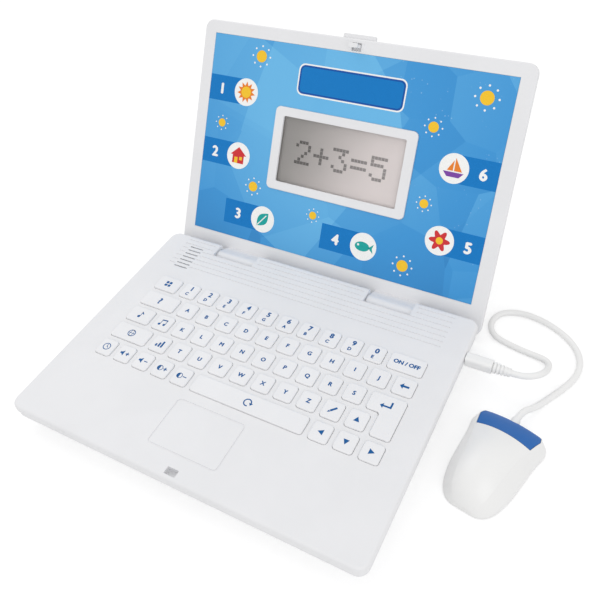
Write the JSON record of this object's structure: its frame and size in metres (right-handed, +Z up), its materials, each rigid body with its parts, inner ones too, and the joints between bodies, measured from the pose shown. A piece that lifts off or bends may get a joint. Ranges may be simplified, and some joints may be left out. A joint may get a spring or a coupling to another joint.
{
  "type": "toy laptop computer",
  "caption": "Child's toy laptop with a hinged lid, picture panel, small display, pressing keys, a battery door and a corded mouse plugged into its side.",
  "frame": {"origin": "on the table under the middle of the base", "axes": "+X to the user's right, +Y to the back where the lid is hinged, +Z up"},
  "size_m": [0.3675, 0.3253, 0.1902],
  "materials": {
    "shell": "satin white moulding",
    "key_white": "white moulding with dark blue legends",
    "panel_blue": "printed sheet, mostly blue",
    "clear_window": "clear",
    "display_grey": "grey display with dark dots",
    "circuit_green": "varnished board",
    "button_blue": "satin blue moulding",
    "cord_white": "soft white moulding",
    "pad_grey": "slippery pads",
    "foot_rubber": "grey rubber",
    "mat_rubber": "grey silicone",
    "speaker_dark": "black frame and cone",
    "socket_dark": "black housing",
    "steel": "plated",
    "cell_can": "plain sleeve"
  },
  "bodies": {
    "base": {"base_bottom": "shell", "base_top": "shell", "rubber_feet": "foot_rubber", "batteries": "cell_can", "battery_contacts": "steel", "main_board": "circuit_green", "board_screws": "steel", "keypad_mat": "mat_rubber", "speaker": "speaker_dark", "mouse_socket": "socket_dark", "case_screws": "steel", "hinge_pins": "steel"},
    "lid": {"lid_front": "shell", "lid_back": "shell", "picture_panel": "panel_blue", "screen_frame": "shell", "screen_window": "clear_window", "display_glass": "display_grey", "display_board": "circuit_green", "lid_screws": "steel"},
    "latch": {"latch": "shell"},
    "battery_door": {"battery_door": "shell"},
    "plug": {"mouse_plug": "cord_white", "plug_pin": "steel", "mouse_cord": "cord_white"},
    "mouse": {"mouse_base": "shell", "mouse_top": "shell", "mouse_relief": "cord_white", "mouse_board": "circuit_green", "mouse_lens": "clear_window", "mouse_pads": "pad_grey", "mouse_screw": "steel"},
    "mouse_button": {"mouse_button": "button_blue"},
    "digit_keys": {"digit_keys": "key_white"},
    "letter_keys_back": {"letter_keys_back": "key_white"},
    "letter_keys_middle": {"letter_keys_middle": "key_white"},
    "letter_keys_front": {"letter_keys_front": "key_white"},
    "activity_key": {"activity_key": "key_white"},
    "power_key": {"power_key": "key_white"},
    "help_key": {"help_key": "key_white"},
    "delete_key": {"delete_key": "key_white"},
    "music_key": {"music_key": "key_white"},
    "note_key": {"note_key": "key_white"},
    "enter_key": {"enter_key": "key_white"},
    "language_key": {"language_key": "key_white"},
    "level_key": {"level_key": "key_white"},
    "write_key": {"write_key": "key_white"},
    "up_key": {"up_key": "key_white"},
    "clock_key": {"clock_key": "key_white"},
    "louder_key": {"louder_key": "key_white"},
    "quieter_key": {"quieter_key": "key_white"},
    "contrast_up_key": {"contrast_up_key": "key_white"},
    "contrast_down_key": {"contrast_down_key": "key_white"},
    "repeat_key": {"repeat_key": "key_white"},
    "left_key": {"left_key": "key_white"},
    "down_key": {"down_key": "key_white"},
    "right_key": {"right_key": "key_white"}
  },
  "joints": [
    {"name": "lid", "type": "hinge", "parent": "base", "child": "lid", "pos_m": [0, 0.0995, 0.0166], "axis": [-1, 0, 0], "range_deg": [-119.4, 5]},
    {"name": "latch", "type": "slide", "parent": "lid", "child": "latch", "axis": [0, -0.4909, -0.8712], "range_m": [0, 0.002], "stiffness_N_per_m": 600},
    {"name": "battery_door", "type": "slide", "parent": "base", "child": "battery_door", "axis": [0, -1, 0], "range_m": [0, 0.045]},
    {"name": "plug_pull", "type": "slide", "parent": "base", "child": "plug", "axis": [1, 0, 0], "range_m": [0, 0.014]},
    {"name": "mouse_glide", "type": "slide", "parent": "plug", "child": "mouse", "axis": [0, 1, 0], "range_m": [-0.015, 0.015], "deforming": ["mouse_cord"]},
    {"name": "mouse_click", "type": "slide", "parent": "mouse", "child": "mouse_button", "axis": [0, 0, -1], "range_m": [0, 0.0008], "stiffness_N_per_m": 600},
    {"name": "press_digit_keys", "type": "slide", "parent": "base", "child": "digit_keys", "axis": [0, 0, -1], "range_m": [0, 0.0014], "stiffness_N_per_m": 3000, "deforming": ["keypad_mat"]},
    {"name": "press_letter_keys_back", "type": "slide", "parent": "base", "child": "letter_keys_back", "axis": [0, 0, -1], "range_m": [0, 0.0014], "stiffness_N_per_m": 3000, "deforming": ["keypad_mat"]},
    {"name": "press_letter_keys_middle", "type": "slide", "parent": "base", "child": "letter_keys_middle", "axis": [0, 0, -1], "range_m": [0, 0.0014], "stiffness_N_per_m": 3000, "deforming": ["keypad_mat"]},
    {"name": "press_letter_keys_front", "type": "slide", "parent": "base", "child": "letter_keys_front", "axis": [0, 0, -1], "range_m": [0, 0.0014], "stiffness_N_per_m": 3000, "deforming": ["keypad_mat"]},
    {"name": "press_activity_key", "type": "slide", "parent": "base", "child": "activity_key", "axis": [0, 0, -1], "range_m": [0, 0.0014], "stiffness_N_per_m": 500, "deforming": ["keypad_mat"]},
    {"name": "press_power_key", "type": "slide", "parent": "base", "child": "power_key", "axis": [0, 0, -1], "range_m": [0, 0.0014], "stiffness_N_per_m": 500, "deforming": ["keypad_mat"]},
    {"name": "press_help_key", "type": "slide", "parent": "base", "child": "help_key", "axis": [0, 0, -1], "range_m": [0, 0.0014], "stiffness_N_per_m": 500, "deforming": ["keypad_mat"]},
    {"name": "press_delete_key", "type": "slide", "parent": "base", "child": "delete_key", "axis": [0, 0, -1], "range_m": [0, 0.0014], "stiffness_N_per_m": 500, "deforming": ["keypad_mat"]},
    {"name": "press_music_key", "type": "slide", "parent": "base", "child": "music_key", "axis": [0, 0, -1], "range_m": [0, 0.0014], "stiffness_N_per_m": 500, "deforming": ["keypad_mat"]},
    {"name": "press_note_key", "type": "slide", "parent": "base", "child": "note_key", "axis": [0, 0, -1], "range_m": [0, 0.0014], "stiffness_N_per_m": 500, "deforming": ["keypad_mat"]},
    {"name": "press_enter_key", "type": "slide", "parent": "base", "child": "enter_key", "axis": [0, 0, -1], "range_m": [0, 0.0014], "stiffness_N_per_m": 500, "deforming": ["keypad_mat"]},
    {"name": "press_language_key", "type": "slide", "parent": "base", "child": "language_key", "axis": [0, 0, -1], "range_m": [0, 0.0014], "stiffness_N_per_m": 500, "deforming": ["keypad_mat"]},
    {"name": "press_level_key", "type": "slide", "parent": "base", "child": "level_key", "axis": [0, 0, -1], "range_m": [0, 0.0014], "stiffness_N_per_m": 500, "deforming": ["keypad_mat"]},
    {"name": "press_write_key", "type": "slide", "parent": "base", "child": "write_key", "axis": [0, 0, -1], "range_m": [0, 0.0014], "stiffness_N_per_m": 500, "deforming": ["keypad_mat"]},
    {"name": "press_up_key", "type": "slide", "parent": "base", "child": "up_key", "axis": [0, 0, -1], "range_m": [0, 0.0014], "stiffness_N_per_m": 500, "deforming": ["keypad_mat"]},
    {"name": "press_clock_key", "type": "slide", "parent": "base", "child": "clock_key", "axis": [0, 0, -1], "range_m": [0, 0.0014], "stiffness_N_per_m": 500, "deforming": ["keypad_mat"]},
    {"name": "press_louder_key", "type": "slide", "parent": "base", "child": "louder_key", "axis": [0, 0, -1], "range_m": [0, 0.0014], "stiffness_N_per_m": 500, "deforming": ["keypad_mat"]},
    {"name": "press_quieter_key", "type": "slide", "parent": "base", "child": "quieter_key", "axis": [0, 0, -1], "range_m": [0, 0.0014], "stiffness_N_per_m": 500, "deforming": ["keypad_mat"]},
    {"name": "press_contrast_up_key", "type": "slide", "parent": "base", "child": "contrast_up_key", "axis": [0, 0, -1], "range_m": [0, 0.0014], "stiffness_N_per_m": 500, "deforming": ["keypad_mat"]},
    {"name": "press_contrast_down_key", "type": "slide", "parent": "base", "child": "contrast_down_key", "axis": [0, 0, -1], "range_m": [0, 0.0014], "stiffness_N_per_m": 500, "deforming": ["keypad_mat"]},
    {"name": "press_repeat_key", "type": "slide", "parent": "base", "child": "repeat_key", "axis": [0, 0, -1], "range_m": [0, 0.0014], "stiffness_N_per_m": 500, "deforming": ["keypad_mat"]},
    {"name": "press_left_key", "type": "slide", "parent": "base", "child": "left_key", "axis": [0, 0, -1], "range_m": [0, 0.0014], "stiffness_N_per_m": 500, "deforming": ["keypad_mat"]},
    {"name": "press_down_key", "type": "slide", "parent": "base", "child": "down_key", "axis": [0, 0, -1], "range_m": [0, 0.0014], "stiffness_N_per_m": 500, "deforming": ["keypad_mat"]},
    {"name": "press_right_key", "type": "slide", "parent": "base", "child": "right_key", "axis": [0, 0, -1], "range_m": [0, 0.0014], "stiffness_N_per_m": 500, "deforming": ["keypad_mat"]}
  ]
}
